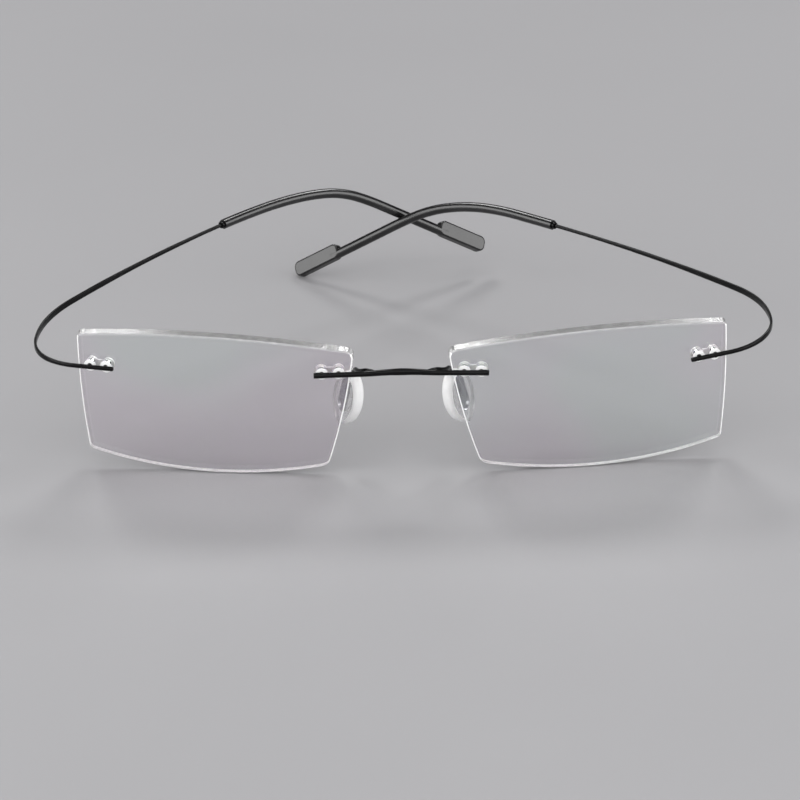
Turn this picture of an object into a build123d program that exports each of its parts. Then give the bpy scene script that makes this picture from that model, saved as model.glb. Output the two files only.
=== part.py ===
from build123d import *
import os
from math import cos, radians, sin, sqrt, tan

# Rimless, hingeless eyeglasses standing on their lenses and one temple tip.
# +X is the wearer's left, the lenses face -Y, +Z is up. Sizes are in millimetres.
# Everything is drawn on the wearer's left side; the right side is its mirror image.

# Lens: a 52 x 30 mm spherical blank, 18 mm from its neighbour
LENS_CENTRE = (36.25, -17.23, 15.28)
WRAP_DEG = 7.75
PANTOSCOPIC_DEG = 8.65
LENS_FRONT_RADIUS = 132.0
LENS_THICKNESS = 2.0
LENS_APEX = 2.9
LENS_TOP_NASAL = (-27.75, 11.4)
LENS_TOP_OUTER = (24.9, 13.6)
LENS_LOW_OUTER = (24.2, -11.9)
LENS_LOW_NASAL = (-21.7, -13.6)
LENS_TOP_CREST = (-1.4, 15.35)
LENS_OUTER_CREST = (24.9, 4.0)
LENS_LOW_CREST = (-2.0, -15.1)
LENS_NASAL_CREST = (-25.6, 0.0)
LENS_CORNER_RADII = {"top_nasal": 1.6, "top_outer": 0.9, "low_outer": 1.2, "low_nasal": 2.2}

# Drilled mounts: two holes beside each end of the lens
MOUNT_HEIGHT = 7.5
NASAL_MOUNT = -23.3
TEMPORAL_MOUNT = 21.0
HOLE_PITCH = 3.2
HOLE_DIAMETER = 1.8
BUSHING_CLEARANCE = 0.02
FLANGE_DIAMETER = 2.3
FLANGE_THICKNESS = 0.25
WEB_THICKNESS = 0.5
WEB_HEIGHT = 1.1
WEB_GAP = 0.06
WEB_EDGE = 0.2
PIN_DIAMETER = 0.95
PIN_BORE_CLEARANCE = 0.03
PIN_DEPTH = 2.2
PIN_TIP_CHAMFER = 0.12
BAR_STANDOFF = 0.79

# Bridge
BAR_DIAMETER = 1.0
BRIDGE_MIDDLE_DIAMETER = 1.3
NASAL_BAR_OVERHANG = 3.1
BRIDGE_SHOULDER_X = 8.4
BRIDGE_MIDDLE = (0.0, -24.0, 23.5)
PIECE_GAP = 0.02

# Pad arm and nose pad
ARM_DIAMETER = 0.85
ARM_ROOT_X = 4.6
ARM_BENDS = [(6.5, -21.9, 23.0), (8.2, -19.2, 21.6)]
ARM_ENTRY_RISE = 2.2
PAD_CENTRE = (10.5, -14.05, 14.15)
PAD_SPLAY_DEG = 30.0
PAD_LEAN_IN_DEG = 12.5
PAD_LEAN_FORWARD_DEG = 13.5
PAD_LENGTH = 11.9
PAD_WIDTH = 8.4
PAD_THICKNESS = 2.5
PAD_EDGE = 0.9
CORE_LENGTH = 7.6
CORE_WIDTH = 3.4
CORE_THICKNESS = 1.5
CORE_RISE = 0.9
CORE_GAP = 0.02
PEG_DEPTH = 3.6
PEG_CLEARANCE = 0.06

# Temple strip: thickness across, height up
STRIP_START = -3.35
STRIP_HEADING = 17.0
STRIP_LENGTH = 138.0
STRIP_SECTIONS = [
    # distance, thickness, height
    (0.0, 0.85, 0.85),
    (6.0, 0.70, 0.85),
    (14.0, 0.50, 1.05),
    (26.0, 0.50, 1.35),
    (42.0, 0.52, 1.20),
    (60.0, 0.60, 0.90),
    (78.0, 0.70, 0.70),
]
FLEX_POSITIONS = [8.0, 20.0, 36.0]
FLEX_GAP = 0.04
BEND_SPANS = [(4.4, 0.0), (6.6, 32.5), (9.2, 46.0), (10.0, 21.5), (6.0, 10.5)]
SLEEVE_SPANS = [11.0, 14.0, 12.5, 17.0]
FREE_STATE = {
    # Share of the full bend, climb at the start and at each span's end, turn of the long
    # last span, where the sleeve starts, and the heading and climb gained in each sleeve span.
    # The flex axes lean along the strip, so that the crossed tips pass each other on opening.
    "left": {
        "bend_share": 1.0,
        "climbs": [3.9, 3.9, 5.3, 4.7, -0.7, -2.6, -1.45],
        "last_turn": 11.2,
        "sleeve_start": 87.7,
        "flex_lean_deg": 6.0,
        "sleeve_turns": [(0.5, 0.2), (10.1, -12.3), (11.3, -18.2), (-3.0, -0.2)],
    },
    "right": {
        "bend_share": 0.989,
        "climbs": [-0.8, -0.8, -0.55, 6.05, 4.0, 2.85, 0.0],
        "last_turn": 5.0,
        "sleeve_start": 80.7,
        "flex_lean_deg": -8.0,
        "sleeve_turns": [(5.0, 0.0), (7.5, -6.8), (14.8, -24.9), (-3.0, 0.0)],
    },
}

# Tip sleeve
SLEEVE_DIAMETER = 1.95
SLEEVE_BORE = 0.8
SLEEVE_STATIONS = [5.0, 12.0, 18.0, 23.5, 28.5, 33.0, 38.0, 45.0]
PADDLE_LENGTH = 11.4
PADDLE_HEIGHT = 3.2
PADDLE_THICKNESS = 1.9
PADDLE_RISE = 0.6
PADDLE_LEAN_DEG = 33.0
PADDLE_CORNER = 1.2
PADDLE_EDGE = 0.4
COLLAR_DIAMETER = 1.35
COLLAR_BORE = 0.84
COLLAR_LENGTH = 0.6
CORE_WIRE_DIAMETER = 0.7


def lens_plane():
    """Plane of the lens: x outwards along the lens, y up, z out of its front."""
    wrap, tilt = radians(WRAP_DEG), radians(PANTOSCOPIC_DEG)
    normal = (sin(wrap) * cos(tilt), -cos(wrap) * cos(tilt), -sin(tilt))
    return Plane(origin=LENS_CENTRE, x_dir=(cos(wrap), sin(wrap), 0), z_dir=normal)


def mount_plane(across):
    """Plane on the lens front between two holes: x along the bar, z out of the lens."""
    depth = sqrt(LENS_FRONT_RADIUS**2 - across**2 - MOUNT_HEIGHT**2)
    spot = Vector(across, MOUNT_HEIGHT, LENS_APEX - LENS_FRONT_RADIUS + depth)
    plane = lens_plane()
    origin = plane.from_local_coords(spot)
    centre = plane.from_local_coords(Vector(0, 0, LENS_APEX - LENS_FRONT_RADIUS))
    normal = (origin - centre).normalized()
    along = Vector(0, 0, 1).cross(normal).normalized()
    return Plane(origin=origin, x_dir=along, z_dir=normal)


def hole_spots():
    """The two hole centres of a mount, in its plane."""
    return [Location((-HOLE_PITCH / 2, 0, 0)), Location((HOLE_PITCH / 2, 0, 0))]


def lens_outline():
    """Near-rectangle with four shallow arcs for sides and rounded corners."""
    top = ThreePointArc(LENS_TOP_NASAL, LENS_TOP_CREST, LENS_TOP_OUTER)
    outer = ThreePointArc(LENS_TOP_OUTER, LENS_OUTER_CREST, LENS_LOW_OUTER)
    low = ThreePointArc(LENS_LOW_OUTER, LENS_LOW_CREST, LENS_LOW_NASAL)
    nasal = ThreePointArc(LENS_LOW_NASAL, LENS_NASAL_CREST, LENS_TOP_NASAL)
    outline = make_face([top, outer, low, nasal])
    corners = {
        "top_nasal": LENS_TOP_NASAL,
        "top_outer": LENS_TOP_OUTER,
        "low_outer": LENS_LOW_OUTER,
        "low_nasal": LENS_LOW_NASAL,
    }
    for name, corner in corners.items():
        vertex = outline.vertices().sort_by_distance((corner[0], corner[1], 0))[0]
        outline = fillet(vertex, LENS_CORNER_RADII[name])
    return outline


def make_lens():
    """Spherical shell cut to the outline and drilled for both mounts."""
    centre_depth = LENS_APEX - LENS_FRONT_RADIUS
    blank = extrude(lens_outline(), amount=8, both=True)
    front = Pos(0, 0, centre_depth) * Sphere(LENS_FRONT_RADIUS)
    back = Pos(0, 0, centre_depth) * Sphere(LENS_FRONT_RADIUS - LENS_THICKNESS)
    lens = lens_plane() * ((blank & front) - back)
    for across in (NASAL_MOUNT, TEMPORAL_MOUNT):
        for spot in hole_spots():
            lens -= mount_plane(across) * spot * Cylinder(HOLE_DIAMETER / 2, 12)
    return lens


def make_bushing(across):
    """Clear double plug: a flange and barrel for each hole, joined by a web behind the lens."""
    web_face = -LENS_THICKNESS - WEB_GAP
    barrel_radius = HOLE_DIAMETER / 2 - BUSHING_CLEARANCE
    web = Rectangle(HOLE_PITCH, WEB_HEIGHT)
    for spot in hole_spots():
        web += spot * Circle(FLANGE_DIAMETER / 2)
    plug = Pos(0, 0, web_face - WEB_THICKNESS) * extrude(web, amount=WEB_THICKNESS)
    for spot in hole_spots():
        barrel = Cylinder(barrel_radius, -web_face, align=(Align.CENTER, Align.CENTER, Align.MAX))
        flange = Cylinder(
            FLANGE_DIAMETER / 2, FLANGE_THICKNESS, align=(Align.CENTER, Align.CENTER, Align.MIN)
        )
        plug += spot * barrel + spot * flange
    plug = fillet(plug.faces().sort_by(Axis.Z)[0].outer_wire().edges(), WEB_EDGE)
    bore_depth = PIN_DEPTH + 0.1
    for spot in hole_spots():
        bore = Cylinder(
            PIN_DIAMETER / 2 + PIN_BORE_CLEARANCE,
            bore_depth + FLANGE_THICKNESS,
            align=(Align.CENTER, Align.CENTER, Align.MIN),
        )
        plug -= spot * Pos(0, 0, -bore_depth) * bore
    return mount_plane(across) * plug


def make_pins(across, bar):
    """Two studs standing on the back of a bar, each a separate solid."""
    height = PIN_DEPTH + BAR_STANDOFF
    pins = []
    for spot in hole_spots():
        pin = Cylinder(PIN_DIAMETER / 2, height, align=(Align.CENTER, Align.CENTER, Align.MAX))
        pin = chamfer(pin.faces().sort_by(Axis.Z)[0].edges(), PIN_TIP_CHAMFER)
        pin = mount_plane(across) * spot * Pos(0, 0, BAR_STANDOFF) * pin
        pins.append((pin - bar).solids().sort_by(SortBy.VOLUME)[-1])
    return pins


def section(plane, thickness, height):
    """Rounded section, nearly round when its two sizes are equal."""
    corner = 0.46 * min(thickness, height)
    return plane * RectangleRounded(thickness, height, corner)


def upright_plane(origin, direction):
    """Section plane across a path, its y axis as near to straight up as it can be."""
    side = Vector(0, 0, 1).cross(direction).normalized()
    return Plane(origin=origin, x_dir=side, z_dir=direction)


def make_bridge():
    """Straight bar on each lens, joined by a low arch that swells in the middle."""
    mount = mount_plane(NASAL_MOUNT)
    start = mount.from_local_coords(Vector(NASAL_BAR_OVERHANG, 0, BAR_STANDOFF))
    along = mount.x_dir * -1
    shoulder = start + along * ((start.X - BRIDGE_SHOULDER_X) / -along.X)
    middle = Vector(*BRIDGE_MIDDLE)
    arch = Spline([shoulder, middle], tangents=[along, Vector(-1, 0, 0)])
    stations = [(start, along, BAR_DIAMETER)]
    for share in (0.3, 0.6, 0.85):
        stations.append((start + (shoulder - start) * share, along, BAR_DIAMETER))
    for share in (0.0, 0.2, 0.4, 0.6, 0.8, 1.0):
        swell = (BRIDGE_MIDDLE_DIAMETER - BAR_DIAMETER) * share**1.2
        stations.append((arch @ share, arch % share, BAR_DIAMETER + swell))
    mirrored = [
        (Vector(-spot.X, spot.Y, spot.Z), Vector(way.X, -way.Y, -way.Z), size)
        for spot, way, size in stations[-2::-1]
    ]
    faces = []
    for spot, way, size in stations + mirrored:
        faces.append(section(upright_plane(spot, way), size, size))
    return loft(faces), arch


def pad_plane():
    """Nose pad plane: y up the pad, z out of the face that meets the nose."""
    lean_in, lean_forward = radians(PAD_LEAN_IN_DEG), radians(PAD_LEAN_FORWARD_DEG)
    up = Vector(-sin(lean_in), -sin(lean_forward), cos(lean_in)).normalized()
    splay = radians(PAD_SPLAY_DEG)
    face = Vector(-cos(splay), sin(splay), 0)
    face = (face - up * face.dot(up)).normalized()
    return Plane(origin=PAD_CENTRE, x_dir=up.cross(face), z_dir=face)


def pad_arm_points(arch):
    """Arm route: out of the back of the bridge, round and down into the pad core."""
    plane = pad_plane()
    peg_top = plane.from_local_coords(Vector(0, CORE_RISE + CORE_LENGTH / 2, 0))
    peg_end = peg_top - plane.y_dir * PEG_DEPTH
    share = 1 - ARM_ROOT_X / BRIDGE_SHOULDER_X
    root = arch @ share
    return root, peg_top, peg_end


def make_pad_arm(arch, bridge):
    """Round wire from the bridge to a straight peg inside the pad core."""
    plane = pad_plane()
    root, peg_top, peg_end = pad_arm_points(arch)
    entry = peg_top + plane.y_dir * ARM_ENTRY_RISE
    bends = [Vector(*bend) for bend in ARM_BENDS]
    arm = rod([root, *bends, entry, peg_end], ARM_DIAMETER)
    return (arm - bridge).solids().sort_by(SortBy.VOLUME)[-1]


def arm_socket():
    """Round hole for the peg, open at the top of the core and of the pad."""
    plane = pad_plane()
    top = PAD_LENGTH / 2 + 1
    bottom = CORE_RISE + CORE_LENGTH / 2 - PEG_DEPTH - 0.15
    radius = ARM_DIAMETER / 2 + PEG_CLEARANCE
    socket = Cylinder(radius, top - bottom, align=(Align.CENTER, Align.CENTER, Align.MIN))
    return plane * Pos(0, bottom, 0) * Rot(-90, 0, 0) * socket


def core_blank(growth=0.0):
    """Stadium-shaped plate in the pad plane."""
    slot = Rot(0, 0, 90) * SlotOverall(CORE_LENGTH + growth, CORE_WIDTH + growth)
    thickness = CORE_THICKNESS + growth
    return Pos(0, CORE_RISE, -thickness / 2) * extrude(slot, amount=thickness)


def make_pad_core():
    """Clear plate that takes the arm's peg."""
    return pad_plane() * core_blank() - arm_socket()


def make_nose_pad():
    """Silicone teardrop pad with a rounded rim, hollowed for its core and the peg."""
    half = PAD_LENGTH / 2
    wide = PAD_WIDTH / 2
    shape = [(0.0, 1.0), (0.68, 0.74), (0.98, 0.15), (0.83, -0.45), (0.43, -0.87), (0.0, -1.0)]
    rim = [(wide * across, half * up) for across, up in shape]
    rim += [(-across, up) for across, up in rim[-2:0:-1]]
    outline = make_face(Spline(rim, periodic=True))
    blank = extrude(outline, amount=PAD_THICKNESS / 2, both=True)
    blank = fillet(blank.edges().filter_by(GeomType.LINE, reverse=True), PAD_EDGE)
    pad = pad_plane() * (blank - core_blank(2 * CORE_GAP))
    return pad - arm_socket()


def strip_size(distance):
    """Thickness and height of the temple strip, straight-line between its listed sections."""
    before, after = STRIP_SECTIONS[0], STRIP_SECTIONS[-1]
    if distance <= before[0]:
        return before[1:]
    if distance >= after[0]:
        return after[1:]
    for low, high in zip(STRIP_SECTIONS, STRIP_SECTIONS[1:]):
        if low[0] <= distance <= high[0]:
            share = (distance - low[0]) / (high[0] - low[0])
            smooth = share * share * (3 - 2 * share)
            return tuple(a + (b - a) * smooth for a, b in zip(low[1:], high[1:]))


def temple_route(side):
    """Heading and climb, in degrees, as pairs of (distance, value) along the whole temple."""
    state = FREE_STATE[side]
    last_length = state["sleeve_start"] - sum(length for length, turn in BEND_SPANS)
    spans = [(length, turn * state["bend_share"]) for length, turn in BEND_SPANS]
    spans.append((last_length, state["last_turn"]))
    headings, climbs = [(0.0, STRIP_HEADING)], [(0.0, state["climbs"][0])]
    for (length, turn), climb in zip(spans, state["climbs"][1:]):
        distance = headings[-1][0] + length
        headings.append((distance, headings[-1][1] + turn))
        climbs.append((distance, climb))
    lengths = SLEEVE_SPANS + [PADDLE_LENGTH]
    for length, (turn, climb) in zip(lengths, state["sleeve_turns"] + [(0, 0)]):
        distance = headings[-1][0] + length
        headings.append((distance, headings[-1][1] + turn))
        climbs.append((distance, climbs[-1][1] + climb))
    return headings, climbs


def value_at(pairs, distance):
    """Value at a distance, straight-line between the pairs and constant outside them."""
    if distance <= pairs[0][0]:
        return pairs[0][1]
    for low, high in zip(pairs, pairs[1:]):
        if distance <= high[0]:
            return low[1] + (high[1] - low[1]) * (distance - low[0]) / (high[0] - low[0])
    return pairs[-1][1]


def direction_at(route, distance):
    """Unit direction of the temple at a distance along it."""
    heading, climb = radians(value_at(route[0], distance)), radians(value_at(route[1], distance))
    return Vector(cos(heading) * cos(climb), sin(heading) * cos(climb), sin(climb))


def temple_plane(route, distance):
    """Section plane across the temple: x across the strip towards its inner face, y up."""
    step = 0.25
    spot = mount_plane(TEMPORAL_MOUNT).from_local_coords(Vector(0, 0, BAR_STANDOFF))
    count = max(1, round(abs(distance) / step))
    for index in range(count):
        middle = (index + 0.5) * distance / count
        spot += direction_at(route, middle) * (distance / count)
    return upright_plane(spot, direction_at(route, distance))


def strip_piece(route, start, end):
    """One stretch of the strip, lofted through evenly spaced sections."""
    count = max(3, round((end - start) / 4) + 1)
    faces = []
    for index in range(count):
        distance = start + (end - start) * index / (count - 1)
        faces.append(section(temple_plane(route, distance), *strip_size(distance)))
    return loft(faces)


def rod(points, diameter):
    """Round rod of straight runs joined by the largest arcs that their lengths allow."""
    radii = []
    for before, corner, after in zip(points, points[1:], points[2:]):
        turn = radians((corner - before).get_angle(after - corner))
        radii.append(0.45 * min((corner - before).length, (after - corner).length) / tan(turn / 2))
    path = FilletPolyline(*points, radius=radii)
    return sweep(Plane(origin=points[0], z_dir=points[1] - points[0]) * Circle(diameter / 2), path=path)


def tube(route, distances, diameter):
    """Round rod that follows the temple route through the given distances."""
    return rod([temple_plane(route, distance).origin for distance in distances], diameter)


def make_temple(side):
    """The strip's four stretches, the collar and the tip sleeve of one temple."""
    route = temple_route(side)
    sleeve_start = FREE_STATE[side]["sleeve_start"]
    cuts = [STRIP_START] + FLEX_POSITIONS
    names = ["temple_bar", "temple_bend", "temple_ribbon"]
    pieces = {}
    for name, start, end in zip(names, cuts, cuts[1:]):
        pieces[name] = strip_piece(route, start + FLEX_GAP / 2, end - FLEX_GAP / 2)
    wire = strip_piece(route, FLEX_POSITIONS[-1] + FLEX_GAP / 2, sleeve_start - 2)
    inner = tube(route, sleeve_stations(sleeve_start, -2, STRIP_LENGTH), CORE_WIRE_DIAMETER)
    pieces["temple_wire"] = wire + inner
    pieces["collar"] = make_collar(route, sleeve_start)
    pieces["tip_sleeve"] = make_sleeve(route, sleeve_start)
    return pieces


def sleeve_stations(sleeve_start, first, last):
    """Distances along the route that shape the sleeve, its bore and the wire in it."""
    inner = [sleeve_start + station for station in SLEEVE_STATIONS]
    return [sleeve_start + first] + [d for d in inner if d < last - 3] + [last]


def make_collar(route, sleeve_start):
    """Small stop ring round the wire, just in front of the sleeve."""
    ring = Cylinder(COLLAR_DIAMETER / 2, COLLAR_LENGTH)
    ring -= Cylinder(COLLAR_BORE / 2, COLLAR_LENGTH * 2)
    middle = sleeve_start - COLLAR_LENGTH / 2 - PIECE_GAP
    return temple_plane(route, middle) * ring


def make_sleeve(route, sleeve_start):
    """Tube that bends down behind the ear and ends in a flat rounded paddle."""
    bend_end = sleeve_start + sum(SLEEVE_SPANS)
    sleeve = tube(route, sleeve_stations(sleeve_start, 0, bend_end + 2), SLEEVE_DIAMETER)
    paddle_plane = temple_plane(route, bend_end + PADDLE_LENGTH / 2)
    side_view = Plane(
        origin=paddle_plane.origin, x_dir=paddle_plane.z_dir, z_dir=paddle_plane.x_dir
    )
    blank = extrude(
        RectangleRounded(PADDLE_LENGTH, PADDLE_HEIGHT, PADDLE_CORNER),
        amount=PADDLE_THICKNESS / 2,
        both=True,
    )
    rims = blank.faces().filter_by(Axis.Z).edges()
    paddle = fillet(rims, PADDLE_EDGE)
    sleeve += side_view * Rot(PADDLE_LEAN_DEG, 0, 0) * Pos(0, -PADDLE_RISE, 0) * paddle
    bore = tube(route, sleeve_stations(sleeve_start, -0.5, STRIP_LENGTH + 0.4), SLEEVE_BORE)
    return sleeve - bore


def flex_axis(side, distance):
    """Hinge point on the strip's outer face and its leaning axis, both before mirroring."""
    plane = temple_plane(temple_route(side), distance)
    spot = plane.from_local_coords(Vector(-strip_size(distance)[0] / 2, 0, 0))
    lean = radians(FREE_STATE[side]["flex_lean_deg"])
    return spot, plane.y_dir * cos(lean) + plane.z_dir * sin(lean)


def build():
    """All nodes by name, both sides, before the origin is moved."""
    bridge, arch = make_bridge()
    nodes = {"bridge": bridge}
    for side in ("left", "right"):
        parts = make_temple(side)
        parts["lens"] = make_lens()
        parts["nasal_bushing"] = make_bushing(NASAL_MOUNT)
        parts["temporal_bushing"] = make_bushing(TEMPORAL_MOUNT)
        parts["nasal_pins"] = Compound(make_pins(NASAL_MOUNT, bridge))
        parts["temporal_pins"] = Compound(make_pins(TEMPORAL_MOUNT, parts["temple_bar"]))
        parts["pad_arm"] = make_pad_arm(arch, bridge)
        parts["pad_core"] = make_pad_core()
        parts["nose_pad"] = make_nose_pad()
        for name, shape in parts.items():
            if side == "right":
                shape = mirror(shape, about=Plane.YZ)
            nodes[f"{side}_{name}"] = shape
    return nodes


def main():
    nodes = build()
    box = Compound(list(nodes.values())).bounding_box()
    shift = Vector(-(box.min.X + box.max.X) / 2, -(box.min.Y + box.max.Y) / 2, -box.min.Z)
    os.makedirs("parts", exist_ok=True)
    for name, shape in nodes.items():
        export_step(Pos(shift) * shape, f"parts/{name}.step")
    print("size", box.size, "shift", shift)
    for side in ("left", "right"):
        for distance in FLEX_POSITIONS:
            spot, axis = flex_axis(side, distance)
            print(side, distance, spot + shift, axis)
    print("pad", pad_plane().origin + shift, pad_plane().y_dir)


main()
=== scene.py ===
"""Looks of the rimless eyeglasses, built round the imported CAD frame.

Lengths are metres in Blender. Measures repeated from the part are in millimetres, and MM
converts them.
"""

import math

import bmesh
import bpy
from mathutils import Matrix, Vector

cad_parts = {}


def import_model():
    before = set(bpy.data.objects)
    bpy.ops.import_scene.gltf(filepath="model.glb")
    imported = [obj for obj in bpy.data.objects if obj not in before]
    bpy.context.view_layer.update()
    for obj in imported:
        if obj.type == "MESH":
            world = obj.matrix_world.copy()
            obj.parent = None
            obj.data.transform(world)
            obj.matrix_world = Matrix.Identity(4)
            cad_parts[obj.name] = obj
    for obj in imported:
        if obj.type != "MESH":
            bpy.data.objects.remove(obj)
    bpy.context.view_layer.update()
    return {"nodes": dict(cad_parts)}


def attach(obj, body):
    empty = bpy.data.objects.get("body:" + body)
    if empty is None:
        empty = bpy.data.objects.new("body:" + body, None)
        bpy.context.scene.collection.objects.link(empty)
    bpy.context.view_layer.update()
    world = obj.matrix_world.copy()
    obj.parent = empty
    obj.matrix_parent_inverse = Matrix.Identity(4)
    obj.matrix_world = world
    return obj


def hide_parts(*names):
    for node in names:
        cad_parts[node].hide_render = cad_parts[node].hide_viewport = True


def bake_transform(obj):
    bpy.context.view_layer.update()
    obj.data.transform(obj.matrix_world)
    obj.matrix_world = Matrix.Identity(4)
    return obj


MM = 0.001
UP = Vector((0, 0, 1))
FLIP = {"left": 1, "right": -1}

# Repeated from the part, so that the clear lenses and the strip skins follow it (mm, degrees)
ORIGIN_SHIFT = Vector((0.062781, -27.3038, -0.015703))
LENS_CENTRE = Vector((36.25, -17.23, 15.28))
WRAP_DEG = 7.75
PANTOSCOPIC_DEG = 8.65
LENS_FRONT_RADIUS = 132.0
LENS_THICKNESS = 2.0
LENS_APEX = 2.9
MOUNT_HEIGHT = 7.5
NASAL_MOUNT = -23.3
TEMPORAL_MOUNT = 21.0
HOLE_PITCH = 3.2
HOLE_DIAMETER = 1.8
EDGE_CHAMFER = 0.24
BAR_STANDOFF = 0.79
STRIP_START = -3.35
STRIP_HEADING = 17.0

# Distance along the temple, thickness and height of the strip (mm)
STRIP_SECTIONS = [
    (0.0, 0.85, 0.85),
    (6.0, 0.70, 0.85),
    (14.0, 0.50, 1.05),
    (26.0, 0.50, 1.35),
    (42.0, 0.52, 1.20),
    (60.0, 0.60, 0.90),
    (78.0, 0.70, 0.70),
]

# Stretches of the bend behind the lens: length (mm) and inward turn (degrees)
BEND_SPANS = [(4.4, 0.0), (6.6, 32.5), (9.2, 46.0), (10.0, 21.5), (6.0, 10.5)]

# Each temple's own shape: climb at the end of each stretch, then turn and change of climb (degrees)
FREE_STATE = {
    "left": {
        "bend_share": 1.0,
        "climbs": [3.9, 3.9, 5.3, 4.7, -0.7, -2.6, -1.45],
        "last_turn": 11.2,
        "sleeve_start": 87.7,
        "sleeve_turns": [(0.5, 0.2), (10.1, -12.3), (11.3, -18.2), (-3.0, -0.2)],
    },
    "right": {
        "bend_share": 0.989,
        "climbs": [-0.8, -0.8, -0.55, 6.05, 4.0, 2.85, 0.0],
        "last_turn": 5.0,
        "sleeve_start": 80.7,
        "sleeve_turns": [(5.0, 0.0), (7.5, -6.8), (14.8, -24.9), (-3.0, 0.0)],
    },
}
SLEEVE_SPANS = [11.0, 14.0, 12.5, 17.0]
PADDLE_LENGTH = 11.4

# Skins of the strip: name, the two bodies, where each starts and ends, and where its turning does
# (mm)
BAR_END_GAP = 0.02
SKINS = [
    ("front", "frame", "bend_1", STRIP_START + BAR_END_GAP, 14.0, 3.0, 13.0),
    ("side", "bend_1", "bend_2", 14.0, 28.0, 14.6, 27.0),
    ("rear", "bend_2", "arm", 28.0, None, 28.8, 46.0),
]
WIRE_INTO_SLEEVE = 1.5
STATION_STEP = 0.25
STATIONS_BEFORE = 4
SKIN_STEP = 0.5
FEWEST_STEPS = 6
SKIN_SIDES = 28
CORNER_SHARE = 0.46

# Rounded free end of a skin: distance from the end (mm) and share of the full section
ROUNDED_END = [(0.0, 0.55), (0.05, 0.8), (0.15, 0.95)]
ROUNDED_LENGTH = 0.3

# Fineness of the clear lenses
OUTLINE_POINTS = 520
LENS_RINGS = 26
TANGENT_REACH = 3
DRILL_SIDES = 48
DRILL_DEPTH = 12.0

# Which faces of a lens are clear, white or translucent, by their lean to its front and their slope:
# on one ground edge, the white sides and bottom are painted highlight and the greyer, clearer top
# is painted shade
HOLE_WALL = HOLE_DIAMETER * 0.52
RIM_LEAN = 0.9
WALL_LEAN = 0.35
TOP_SLOPE = 0.3
BOTTOM_SLOPE = -0.5
CREASE_DEG = 25
CLEAR, PAINTED_LIT_EDGE, PAINTED_SHADED_TOP = 0, 1, 2

# Which faces of a nose pad get the whiter rim, a painted highlight: their lean to its flat face,
# and how far out they are
PAD_FACE_LEAN = 0.94
PAD_RIM_REACH = 0.66

# Optical constants
LENS_IOR = 1.56
COAT_IOR = 1.38
COAT_THICKNESS = 330.0
EDGE_IOR = 1.5
ACRYLIC_IOR = 1.49
SILICONE_IOR = 1.41

# Backdrop: a floor that curves up into a wall (metres)
FLOOR_STATIONS = [-4.0, -2.0, 0.0, 1.0, 2.0]
SWEEP_RADIUS = 0.8
SWEEP_CENTRE_Y = 2.1
SWEEP_STEPS = 24
WALL_Y = 2.9
WALL_TOP = 3.0
BACKDROP_HALF_WIDTH = 4.0

# Soft boxes: name, place, size (metres) and watts, all aimed at the glasses
LIGHT_TARGET = Vector((0, 0, 0.02))
LIGHTS = [
    ("key_box", (0.0, -1.30, 0.86), (2.2, 1.25), 20.0),
    ("left_box", (-1.35, -0.45, 0.50), (1.3, 0.95), 20.0),
    ("right_box", (1.35, -0.45, 0.50), (1.3, 0.95), 20.0),
    ("top_box", (0.0, -0.10, 1.20), (1.6, 1.0), 6.0),
    ("back_left_box", (-0.42, 0.86, 0.90), (0.36, 0.30), 5.0),
    ("back_right_box", (0.42, 0.86, 0.90), (0.36, 0.30), 5.0),
]
WORLD_COLOUR = (0.75, 0.75, 0.78, 1)
WORLD_STRENGTH = 0.12

# Camera found from the object and its mirror image in the photograph's floor (mm, degrees)
SENSOR_WIDTH = 36.0
FOCAL_LENGTH = 263.24
CAMERA_PLACE = Vector((-1.107, -1023.2, 470.55))
CAMERA_PITCH_DEG = 24.38
CAMERA_ROLL_DEG = 1.752
CAMERA_TURN_DEG = 1.761
CLIP_NEAR, CLIP_FAR = 0.05, 20.0


def route_of(side):
    """Heading and climb as (distance, value) pairs along the temple."""
    state = FREE_STATE[side]
    last = state["sleeve_start"] - sum(length for length, _ in BEND_SPANS)
    spans = [(length, turn * state["bend_share"]) for length, turn in BEND_SPANS]
    spans.append((last, state["last_turn"]))
    headings, climbs = [(0.0, STRIP_HEADING)], [(0.0, state["climbs"][0])]
    for (length, turn), climb in zip(spans, state["climbs"][1:]):
        distance = headings[-1][0] + length
        headings.append((distance, headings[-1][1] + turn))
        climbs.append((distance, climb))
    lengths = SLEEVE_SPANS + [PADDLE_LENGTH]
    for length, (turn, climb) in zip(lengths, state["sleeve_turns"] + [(0, 0)]):
        distance = headings[-1][0] + length
        headings.append((distance, headings[-1][1] + turn))
        climbs.append((distance, climbs[-1][1] + climb))
    return headings, climbs


def value_at(pairs, distance):
    """Value at a distance, on straight lines between the pairs and level beyond them."""
    if distance <= pairs[0][0]:
        return pairs[0][1]
    for low, high in zip(pairs, pairs[1:]):
        if distance <= high[0]:
            share = (distance - low[0]) / (high[0] - low[0])
            return low[1] + (high[1] - low[1]) * share
    return pairs[-1][1]


def strip_size(distance):
    """Thickness and height of the strip, eased between its listed sections."""
    before, after = STRIP_SECTIONS[0], STRIP_SECTIONS[-1]
    if distance <= before[0]:
        return before[1:]
    if distance >= after[0]:
        return after[1:]
    for low, high in zip(STRIP_SECTIONS, STRIP_SECTIONS[1:]):
        if low[0] <= distance <= high[0]:
            share = (distance - low[0]) / (high[0] - low[0])
            smooth = share * share * (3 - 2 * share)
            return tuple(a + (b - a) * smooth for a, b in zip(low[1:], high[1:]))


def lens_axes():
    """The wearer's-left lens: x outwards, y up, z out of the front, and the ball's centre."""
    wrap, tilt = math.radians(WRAP_DEG), math.radians(PANTOSCOPIC_DEG)
    z = Vector(
        (math.sin(wrap) * math.cos(tilt), -math.cos(wrap) * math.cos(tilt), -math.sin(tilt))
    )
    x = Vector((math.cos(wrap), math.sin(wrap), 0))
    return x, z.cross(x), z, LENS_CENTRE + z * (LENS_APEX - LENS_FRONT_RADIUS)


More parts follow.
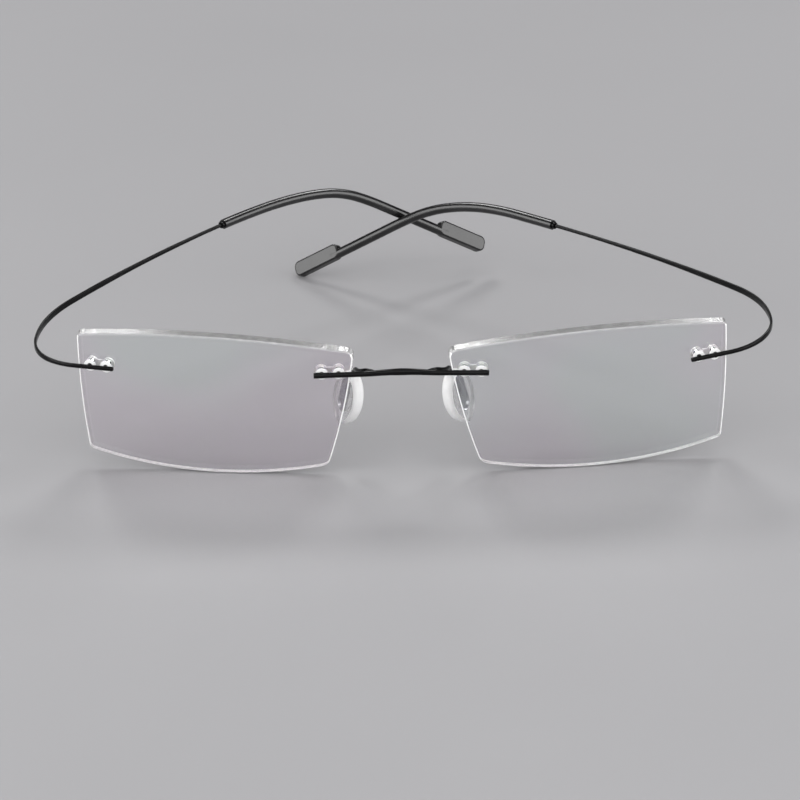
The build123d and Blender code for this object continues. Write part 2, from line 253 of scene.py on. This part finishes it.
def mount_on_lens(across):
    """Middle of a drilled mount on the front of the left lens, and its outward normal."""
    x, y, z, ball = lens_axes()
    depth = math.sqrt(LENS_FRONT_RADIUS**2 - across**2 - MOUNT_HEIGHT**2)
    spot = ball + x * across + y * MOUNT_HEIGHT + z * depth
    return spot, (spot - ball).normalized()


def bar_middle():
    """Point over the outer drilled mount where the strip's route starts."""
    spot, normal = mount_on_lens(TEMPORAL_MOUNT)
    return spot + normal * BAR_STANDOFF


def stations(side):
    """Along the temple: distance (mm), centre, direction, across (inward) and up."""
    headings, climbs = route_of(side)
    end = headings[-1][0]

    def direction(distance):
        h = math.radians(value_at(headings, distance))
        c = math.radians(value_at(climbs, distance))
        return Vector((math.cos(h) * math.cos(c), math.sin(h) * math.cos(c), math.sin(c)))

    def walk(step, limit):
        spot, distance, found = bar_middle(), 0.0, []
        while abs(distance) < limit:
            spot = spot + direction(distance + step / 2) * step
            distance += step
            found.append((distance, spot.copy()))
        return found

    behind = walk(-STATION_STEP, STATIONS_BEFORE)[::-1]
    line = behind + [(0.0, bar_middle())] + walk(STATION_STEP, end)
    made = []
    for distance, spot in line:
        way = direction(distance)
        across = UP.cross(way).normalized()
        axes = [way, across, way.cross(across)]
        if side == "right":
            spot.x = -spot.x
            axes = [Vector((-v.x, v.y, v.z)) for v in axes]
        made.append((distance, (spot + ORIGIN_SHIFT) * MM, *axes))
    return made


def station_at(line, distance):
    """Station nearest a distance, moved along the line to meet it exactly."""
    near = min(line, key=lambda s: abs(s[0] - distance))
    return (distance, near[1] + near[2] * (distance - near[0]) * MM, *near[2:])


def rounded_section(thickness, height, count):
    """Outline points of a rounded strip section as (across, up) pairs in millimetres."""
    corner = CORNER_SHARE * min(thickness, height)
    points = []
    for index in range(count):
        angle = 2 * math.pi * (index + 0.5) / count
        u, v = math.cos(angle), math.sin(angle)
        cx = math.copysign(thickness / 2 - corner, u)
        cy = math.copysign(height / 2 - corner, v)
        points.append((cx + corner * u, cy + corner * v))
    return points


def link_object(name, data):
    """New object with this data, linked into the scene."""
    made = bpy.data.objects.new(name, data)
    bpy.context.scene.collection.objects.link(made)
    return made


def shade_smooth(mesh):
    for polygon in mesh.polygons:
        polygon.use_smooth = True


def skin(name, rings, caps):
    """Smooth tube through rings of points, closed at its start and end where caps says so."""
    mesh = bpy.data.meshes.new(name)
    count = len(rings[0])
    vertices = [tuple(p) for ring in rings for p in ring]
    faces = []
    for r in range(len(rings) - 1):
        low, high = r * count, (r + 1) * count
        for i in range(count):
            j = (i + 1) % count
            faces.append((low + i, low + j, high + j, high + i))
    if caps[0]:
        faces.append(tuple(reversed(range(count))))
    if caps[1]:
        faces.append(tuple(range((len(rings) - 1) * count, len(rings) * count)))
    mesh.from_pydata(vertices, [], faces)
    bm = bmesh.new()
    bm.from_mesh(mesh)
    bmesh.ops.recalc_face_normals(bm, faces=bm.faces)
    bm.to_mesh(mesh)
    bm.free()
    shade_smooth(mesh)
    return link_object(name, mesh)


def strip_skin(name, line, start, end, caps):
    """Skin of the strip between two distances, its free ends rounded off."""
    span = end - start
    steps = max(FEWEST_STEPS, round(span / SKIN_STEP))
    places = [(start + span * i / steps, 1.0) for i in range(steps + 1)]
    if caps[0]:
        rounded = [(start + away, scale) for away, scale in ROUNDED_END]
        places = rounded + [p for p in places if p[0] > start + ROUNDED_LENGTH]
    if caps[1]:
        rounded = [(end - away, scale) for away, scale in reversed(ROUNDED_END)]
        places = [p for p in places if p[0] < end - ROUNDED_LENGTH] + rounded
    rings = []
    for distance, scale in places:
        _, spot, _, across, up = station_at(line, distance)
        section = rounded_section(*strip_size(distance), SKIN_SIDES)
        rings.append([spot + (across * a + up * b) * (scale * MM) for a, b in section])
    return skin(name, rings, caps)


def hull_chain(points):
    """One side of the convex hull of sorted points, without its last point."""
    hull = []
    for p in points:
        while len(hull) > 1:
            (ax, ay), (bx, by) = hull[-2], hull[-1]
            if (bx - ax) * (p[1] - ay) - (by - ay) * (p[0] - ax) > 1e-9:
                break
            hull.pop()
        hull.append(p)
    return hull[:-1]


def lens_outline(node, side):
    """Outline of the CAD lens in its own plane: the hull of its points, evenly resampled."""
    x, y, _, _ = lens_axes()
    flat = set()
    for vertex in node.data.vertices:
        spot = vertex.co / MM - ORIGIN_SHIFT
        spot.x *= FLIP[side]
        away = spot - LENS_CENTRE
        flat.add((round(away.dot(x), 4), round(away.dot(y), 4)))
    flat = sorted(flat)
    hull = hull_chain(flat) + hull_chain(flat[::-1])
    lengths = [math.dist(a, b) for a, b in zip(hull, hull[1:] + hull[:1])]
    total = sum(lengths)
    points, index, run = [], 0, 0.0
    for i in range(OUTLINE_POINTS):
        goal = total * i / OUTLINE_POINTS
        while run + lengths[index] < goal:
            run += lengths[index]
            index += 1
        share = (goal - run) / lengths[index]
        (ax, ay), (bx, by) = hull[index], hull[(index + 1) % len(hull)]
        points.append((ax + (bx - ax) * share, ay + (by - ay) * share))
    return points


def lens_blank(side, outline):
    """Undrilled lens: two spherical faces, the wall between them, and fine chamfers."""
    x, y, z, ball = lens_axes()
    count = len(outline)
    inset = []
    for i, (a, b) in enumerate(outline):
        before, after = outline[i - TANGENT_REACH], outline[(i + TANGENT_REACH) % count]
        tx, ty = after[0] - before[0], after[1] - before[1]
        size = math.hypot(tx, ty)
        inset.append((a - ty / size * EDGE_CHAMFER, b + tx / size * EDGE_CHAMFER))

    def place(a, b, radius, lift=0.0):
        depth = math.sqrt(radius**2 - a * a - b * b) + lift
        spot = ball + x * a + y * b + z * depth
        spot.x *= FLIP[side]
        return (spot + ORIGIN_SHIFT) * MM

    front, back = LENS_FRONT_RADIUS, LENS_FRONT_RADIUS - LENS_THICKNESS
    shares = [i / LENS_RINGS for i in range(1, LENS_RINGS + 1)]
    rings = [[place(a * s, b * s, front) for a, b in inset] for s in shares]
    rings.append([place(a, b, front, -EDGE_CHAMFER) for a, b in outline])
    rings.append([place(a, b, back, EDGE_CHAMFER) for a, b in outline])
    rings += [[place(a * s, b * s, back) for a, b in inset] for s in shares[::-1]]
    bm = bmesh.new()
    rows = [[bm.verts.new(p) for p in ring] for ring in rings]
    for low, high in zip(rows, rows[1:]):
        for i in range(count):
            j = (i + 1) % count
            bm.faces.new((low[i], low[j], high[j], high[i]))
    for row, radius in ((rows[0], front), (rows[-1], back)):
        middle = bm.verts.new(place(0, 0, radius))
        for i in range(count):
            bm.faces.new((row[i], row[(i + 1) % count], middle))
    bmesh.ops.recalc_face_normals(bm, faces=bm.faces)
    mesh = bpy.data.meshes.new(f"{side}_clear_lens")
    bm.to_mesh(mesh)
    bm.free()
    return link_object(f"{side}_clear_lens", mesh)


def hole_axes(side):
    """Centre and direction of the four drilled holes of one lens."""
    axes = []
    for across in (NASAL_MOUNT, TEMPORAL_MOUNT):
        spot, normal = mount_on_lens(across)
        along = UP.cross(normal).normalized()
        for shift in (-HOLE_PITCH / 2, HOLE_PITCH / 2):
            centre, way = spot + along * shift, normal.copy()
            centre.x *= FLIP[side]
            way.x *= FLIP[side]
            axes.append(((centre + ORIGIN_SHIFT) * MM, way))
    return axes


def drill(piece, axes):
    """Cut a round hole through the piece along each axis."""
    radius = HOLE_DIAMETER / 2 * MM
    drills = bmesh.new()
    for centre, way in axes:
        turn = way.to_track_quat("Z", "Y").to_matrix().to_4x4()
        bmesh.ops.create_cone(
            drills, cap_ends=True, segments=DRILL_SIDES, radius1=radius, radius2=radius,
            depth=DRILL_DEPTH * MM, matrix=Matrix.Translation(centre) @ turn,
        )
    tool_mesh = bpy.data.meshes.new("drills")
    drills.to_mesh(tool_mesh)
    drills.free()
    tool = link_object("drills", tool_mesh)
    cut = piece.modifiers.new("cut", "BOOLEAN")
    cut.operation, cut.solver, cut.object = "DIFFERENCE", "EXACT", tool
    bpy.context.view_layer.update()
    drilled = bpy.data.meshes.new_from_object(
        piece.evaluated_get(bpy.context.evaluated_depsgraph_get())
    )
    piece.modifiers.clear()
    piece.data = drilled
    bpy.data.objects.remove(tool)


def at_hole(spot, axes):
    """Whether a point lies on the wall of a drilled hole."""
    for centre, way in axes:
        away = spot - centre
        if (away - way * away.dot(way)).length < HOLE_WALL * MM:
            return True
    return False


def paint_lens(piece, side, axes, *materials):
    """Clear faces and holes, white edges and a greyer translucent top, with sharp creases between:
    the white is painted highlight and the grey top is painted shade on one ground edge.
    """
    facing = lens_axes()[2]
    facing.x *= FLIP[side]
    assign(piece, *materials)
    mesh = piece.data
    shade_smooth(mesh)
    for polygon in mesh.polygons:
        lean, slope = abs(polygon.normal.dot(facing)), polygon.normal.z
        # Split by facing: the white sides and bottom are painted highlight, the greyer top is
        # painted shade
        if lean >= RIM_LEAN or at_hole(polygon.center, axes):
            polygon.material_index = CLEAR
        elif slope > TOP_SLOPE or (lean < WALL_LEAN and slope > BOTTOM_SLOPE):
            polygon.material_index = PAINTED_SHADED_TOP
        else:
            polygon.material_index = PAINTED_LIT_EDGE
    bm = bmesh.new()
    bm.from_mesh(mesh)
    crease = math.radians(CREASE_DEG)
    for line in bm.edges:
        line.smooth = len(line.link_faces) == 2 and line.calc_face_angle(0) < crease
    bm.to_mesh(mesh)
    bm.free()


def lens_piece(node, side, *materials):
    """Smooth drilled lens on the outline of the CAD one."""
    piece = lens_blank(side, lens_outline(node, side))
    axes = hole_axes(side)
    drill(piece, axes)
    paint_lens(piece, side, axes, *materials)
    return piece


def nodes_of(name):
    """New material, its node tree and its main shader."""
    material = bpy.data.materials.new(name)
    material.use_nodes = True
    tree = material.node_tree
    return material, tree, tree.nodes["Principled BSDF"]


def add_noise(tree, scale, detail, roughness):
    """Noise texture in object space."""
    place = tree.nodes.new("ShaderNodeTexCoord")
    texture = tree.nodes.new("ShaderNodeTexNoise")
    texture.inputs["Scale"].default_value = scale
    texture.inputs["Detail"].default_value = detail
    texture.inputs["Roughness"].default_value = roughness
    tree.links.new(place.outputs["Object"], texture.inputs["Vector"])
    return texture.outputs["Fac"]


def add_ramp(tree, source, stops):
    """Colour ramp through (position, colour) stops."""
    node = tree.nodes.new("ShaderNodeValToRGB")
    node.color_ramp.elements[0].position = stops[0][0]
    node.color_ramp.elements[0].color = stops[0][1]
    node.color_ramp.elements[1].position = stops[-1][0]
    node.color_ramp.elements[1].color = stops[-1][1]
    for position, colour in stops[1:-1]:
        element = node.color_ramp.elements.new(position)
        element.color = colour
    tree.links.new(source, node.inputs["Fac"])
    return node.outputs["Color"]


def add_bump(tree, shader, source, strength, distance):
    """Surface bump from a texture, its distance in metres."""
    bump = tree.nodes.new("ShaderNodeBump")
    bump.inputs["Strength"].default_value = strength
    bump.inputs["Distance"].default_value = distance
    tree.links.new(source, bump.inputs["Height"])
    tree.links.new(bump.outputs["Normal"], shader.inputs["Normal"])


def grey(value, tint=(1.0, 1.0, 1.0)):
    return (value * tint[0], value * tint[1], value * tint[2], 1.0)


def black_metal():
    """Thin black coating on drawn metal: fine grain, slightly uneven sheen."""
    material, tree, shader = nodes_of("black_metal")
    grain = add_noise(tree, scale=5200.0, detail=3.0, roughness=0.6)
    patches = add_noise(tree, scale=180.0, detail=2.0, roughness=0.5)
    tone = add_ramp(tree, patches, [(0.3, grey(0.002)), (0.7, grey(0.005, (1, 1, 1.08)))])
    gloss = add_ramp(tree, patches, [(0.3, grey(0.19)), (0.72, grey(0.23))])
    tree.links.new(tone, shader.inputs["Base Color"])
    tree.links.new(gloss, shader.inputs["Roughness"])
    add_bump(tree, shader, grain, strength=0.03, distance=0.00001)
    shader.inputs["Specular IOR Level"].default_value = 0.11
    return material


def tip_rubber():
    """Smooth moulded black tip: broad soft highlight, very fine orange-peel."""
    material, tree, shader = nodes_of("tip_sleeve")
    peel = add_noise(tree, scale=2600.0, detail=2.0, roughness=0.5)
    marks = add_noise(tree, scale=260.0, detail=5.0, roughness=0.6)
    tone = add_ramp(tree, marks, [(0.3, grey(0.004)), (0.7, grey(0.009, (1.02, 1, 1.04)))])
    gloss = add_ramp(tree, marks, [(0.32, grey(0.20)), (0.7, grey(0.27))])
    tree.links.new(tone, shader.inputs["Base Color"])
    tree.links.new(gloss, shader.inputs["Roughness"])
    add_bump(tree, shader, peel, strength=0.08, distance=0.00003)
    shader.inputs["Specular IOR Level"].default_value = 0.48
    return material


def lens_glass():
    """Clear plastic with a faint magenta and green anti-reflection coat."""
    material, tree, shader = nodes_of("lens")
    magenta, violet = (0.966, 0.92, 0.96, 1), (0.978, 0.96, 0.984, 1)
    green = (0.95, 0.983, 0.974, 1)
    film = add_noise(tree, scale=30.0, detail=1.0, roughness=0.4)
    tone = add_ramp(tree, film, [(0.46, magenta), (0.56, violet), (0.66, green)])
    tree.links.new(tone, shader.inputs["Base Color"])
    shader.inputs["Transmission Weight"].default_value = 1.0
    shader.inputs["Roughness"].default_value = 0.0
    shader.inputs["IOR"].default_value = LENS_IOR
    shader.inputs["Thin Film Thickness"].default_value = COAT_THICKNESS
    shader.inputs["Thin Film IOR"].default_value = COAT_IOR
    return material


def lens_edge_painted_light(name, dull, bright, clarity):
    """Ground and buffed lens edge: whitish, with faint grinding marks. Its brightness and clarity
    differ per copy as painted light: white for the sides and bottom, greyer and clearer for the
    top.
    """
    material, tree, shader = nodes_of(name)
    marks = add_noise(tree, scale=900.0, detail=4.0, roughness=0.6)
    tone = add_ramp(tree, marks, [(0.35, grey(dull)), (0.6, grey(bright))])
    tree.links.new(tone, shader.inputs["Base Color"])
    add_bump(tree, shader, marks, strength=0.06, distance=0.00003)
    shader.inputs["Transmission Weight"].default_value = clarity
    shader.inputs["Roughness"].default_value = 0.25
    shader.inputs["IOR"].default_value = EDGE_IOR
    return material


def clear_plastic(name, ior, roughness, ripple, clarity, tint=(1, 1, 1)):
    """Moulded clear plastic or silicone with a faint surface ripple. A low clarity or a dark tint
    paints light into it: whiter bushings and pad rims as painted highlight, a darker pad core as
    painted shade.
    """
    material, tree, shader = nodes_of(name)
    waves = add_noise(tree, scale=700.0, detail=2.0, roughness=0.5)
    tone = add_ramp(tree, waves, [(0.3, grey(0.94, tint)), (0.7, grey(0.99, tint))])
    tree.links.new(tone, shader.inputs["Base Color"])
    add_bump(tree, shader, waves, strength=ripple, distance=0.00004)
    shader.inputs["Transmission Weight"].default_value = clarity
    shader.inputs["Roughness"].default_value = roughness
    shader.inputs["IOR"].default_value = ior
    return material


def floor_material():
    """Plain pale grey with a barely visible cloud."""
    material, tree, shader = nodes_of("floor")
    tint = (1, 0.99, 1.02)
    cloud = add_noise(tree, scale=6.0, detail=3.0, roughness=0.5)
    tone = add_ramp(tree, cloud, [(0.3, grey(0.25, tint)), (0.7, grey(0.265, tint))])
    tree.links.new(tone, shader.inputs["Base Color"])
    shader.inputs["Roughness"].default_value = 0.55
    return material


def assign(node, *materials):
    """Give the node's mesh these materials and no others."""
    node.data.materials.clear()
    for material in materials:
        node.data.materials.append(material)


def assign_pad(node, clear, rim):
    """Clear faces and pocket, and a whiter, less clear rounded rim all round the pad: a painted
    highlight on the clear silicone.
    """
    assign(node, clear, rim)
    spots = [vertex.co for vertex in node.data.vertices]
    top = max(spots, key=lambda spot: (spot - spots[0]).length)
    low = max(spots, key=lambda spot: (spot - top).length)
    centre, axis = (top + low) / 2, (top - low).normalized()
    flat = max(node.data.polygons, key=lambda polygon: polygon.area).normal.copy()
    half = (top - low).length / 2
    side = axis.cross(flat).normalized()
    wide = max(abs((spot - centre).dot(side)) for spot in spots)
    for polygon in node.data.polygons:
        away = polygon.center - centre
        reach = (away.dot(axis) / half) ** 2 + (away.dot(side) / wide) ** 2
        rounded = abs(polygon.normal.dot(flat)) < PAD_FACE_LEAN
        # Outer rounded faces get the whiter rim material, a painted highlight
        polygon.material_index = 1 if rounded and reach > PAD_RIM_REACH else 0


def make_stage():
    """Pale sweep: floor and back wall in one smooth sheet."""
    profile = [(y, 0.0) for y in FLOOR_STATIONS]
    for i in range(1, SWEEP_STEPS + 1):
        angle = math.radians(90 * i / SWEEP_STEPS)
        y = SWEEP_CENTRE_Y + SWEEP_RADIUS * math.sin(angle)
        profile.append((y, SWEEP_RADIUS - SWEEP_RADIUS * math.cos(angle)))
    profile.append((WALL_Y, WALL_TOP))
    vertices, faces = [], []
    for y, z in profile:
        vertices += [(-BACKDROP_HALF_WIDTH, y, z), (BACKDROP_HALF_WIDTH, y, z)]
    for i in range(len(profile) - 1):
        faces.append((2 * i, 2 * i + 1, 2 * i + 3, 2 * i + 2))
    mesh = bpy.data.meshes.new("backdrop")
    mesh.from_pydata(vertices, [], faces)
    shade_smooth(mesh)
    sweep = link_object("backdrop", mesh)
    mesh.materials.append(floor_material())


def make_lights():
    """Soft boxes round the glasses and a dim even surround."""
    for name, place, size, power in LIGHTS:
        lamp = bpy.data.lights.new(name, "AREA")
        lamp.shape = "RECTANGLE"
        lamp.size, lamp.size_y = size
        lamp.energy = power
        holder = link_object(name, lamp)
        holder.location = place
        aim = LIGHT_TARGET - Vector(place)
        holder.rotation_euler = aim.to_track_quat("-Z", "Y").to_euler()
    world = bpy.data.worlds.new("studio")
    world.use_nodes = True
    background = world.node_tree.nodes["Background"]
    background.inputs["Color"].default_value = WORLD_COLOUR
    background.inputs["Strength"].default_value = WORLD_STRENGTH
    bpy.context.scene.world = world
    bpy.context.scene.view_settings.view_transform = "Standard"


def make_camera():
    """Long lens, 24.4 degrees down, as far off as the photograph's perspective says."""
    data = bpy.data.cameras.new("camera")
    data.sensor_width = SENSOR_WIDTH
    data.lens = FOCAL_LENGTH
    data.clip_start, data.clip_end = CLIP_NEAR, CLIP_FAR
    camera = link_object("camera", data)
    pitch, roll = math.radians(CAMERA_PITCH_DEG), math.radians(CAMERA_ROLL_DEG)
    forward = Vector((0, math.cos(pitch), -math.sin(pitch)))
    upward = Vector((0, math.sin(pitch), math.cos(pitch)))
    right = Vector((1, 0, 0))
    right_rolled = right * math.cos(roll) - upward * math.sin(roll)
    up_rolled = right * math.sin(roll) + upward * math.cos(roll)
    spin = Matrix.Rotation(math.radians(CAMERA_TURN_DEG), 3, "Z")
    axes = Matrix((spin @ right_rolled, spin @ up_rolled, spin @ -forward)).transposed()
    place = spin @ CAMERA_PLACE + ORIGIN_SHIFT
    camera.matrix_world = Matrix.Translation(place * MM) @ axes.to_4x4()
    bpy.context.scene.camera = camera


def dress_nodes(nodes, metal):
    """Materials on the CAD nodes, and a smooth clear lens in place of each CAD lens."""
    rubber, glass = tip_rubber(), lens_glass()
    # Two copies of one ground edge: a white, nearly opaque one as painted highlight and a greyer,
    # clearer one for the top as painted shade
    edge = lens_edge_painted_light("lens_edge_painted_light", dull=0.86, bright=0.98, clarity=0.08)
    painted_shade_top_edge = lens_edge_painted_light("lens_top_edge_painted_shade", dull=0.62, bright=0.85, clarity=0.78)
    # Clear plastic made nearly opaque white: painted highlight for the bushings' bright outlines
    plug_painted_highlight = clear_plastic("clear_plug", ACRYLIC_IOR, roughness=0.05, ripple=0.10, clarity=0.12)
    # Grey tint on the clear core is painted shade: the dark window seen inside the pad
    core_painted_shade = clear_plastic(
        "pad_core", ACRYLIC_IOR, roughness=0.05, ripple=0.10, clarity=0.97,
        tint=(0.40, 0.41, 0.43),
    )
    silicone = clear_plastic("silicone", SILICONE_IOR, roughness=0.03, ripple=0.2, clarity=0.9)
    # Whiter, less clear silicone on the pad's rim: painted highlight for its bright edge
    rim_painted_highlight = clear_plastic("silicone_rim_painted_highlight", SILICONE_IOR, roughness=0.15, ripple=0.2, clarity=0.28)

    for name, node in sorted(nodes.items()):
        if name.endswith("lens"):
            piece = lens_piece(node, name.split("_")[0], glass, edge, painted_shade_top_edge)
            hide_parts(name)
            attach(piece, "frame")
        elif name.endswith("bushing"):
            assign(node, plug_painted_highlight)
        elif name.endswith("pad_core"):
            assign(node, core_painted_shade)
        elif name.endswith("nose_pad"):
            assign_pad(node, silicone, rim_painted_highlight)
        elif name.endswith("tip_sleeve"):
            assign(node, rubber)
        else:
            assign(node, metal)


def make_skins(side, metal):
    """Three skins over the cuts in one temple's strip."""
    line = stations(side)
    wire_end = FREE_STATE[side]["sleeve_start"] + WIRE_INTO_SLEEVE
    for label, first, second, start, end, turn_from, turn_to in SKINS:
        stop = end if end is not None else wire_end
        caps = (label == "front", label == "rear")
        piece = strip_skin(f"{side}_strip_{label}", line, start, stop, caps)
        piece.data.materials.append(metal)
        if label == "front":
            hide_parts(f"{side}_temple_bar", f"{side}_temple_bend")
        elif label == "side":
            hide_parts(f"{side}_temple_ribbon")
        else:
            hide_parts(f"{side}_temple_wire")
        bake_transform(piece)


def main():
    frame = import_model()
    nodes = frame["nodes"]

    metal = black_metal()
    dress_nodes(nodes, metal)
    make_skins("left", metal)
    make_skins("right", metal)

    make_stage()
    make_lights()
    make_camera()


main()
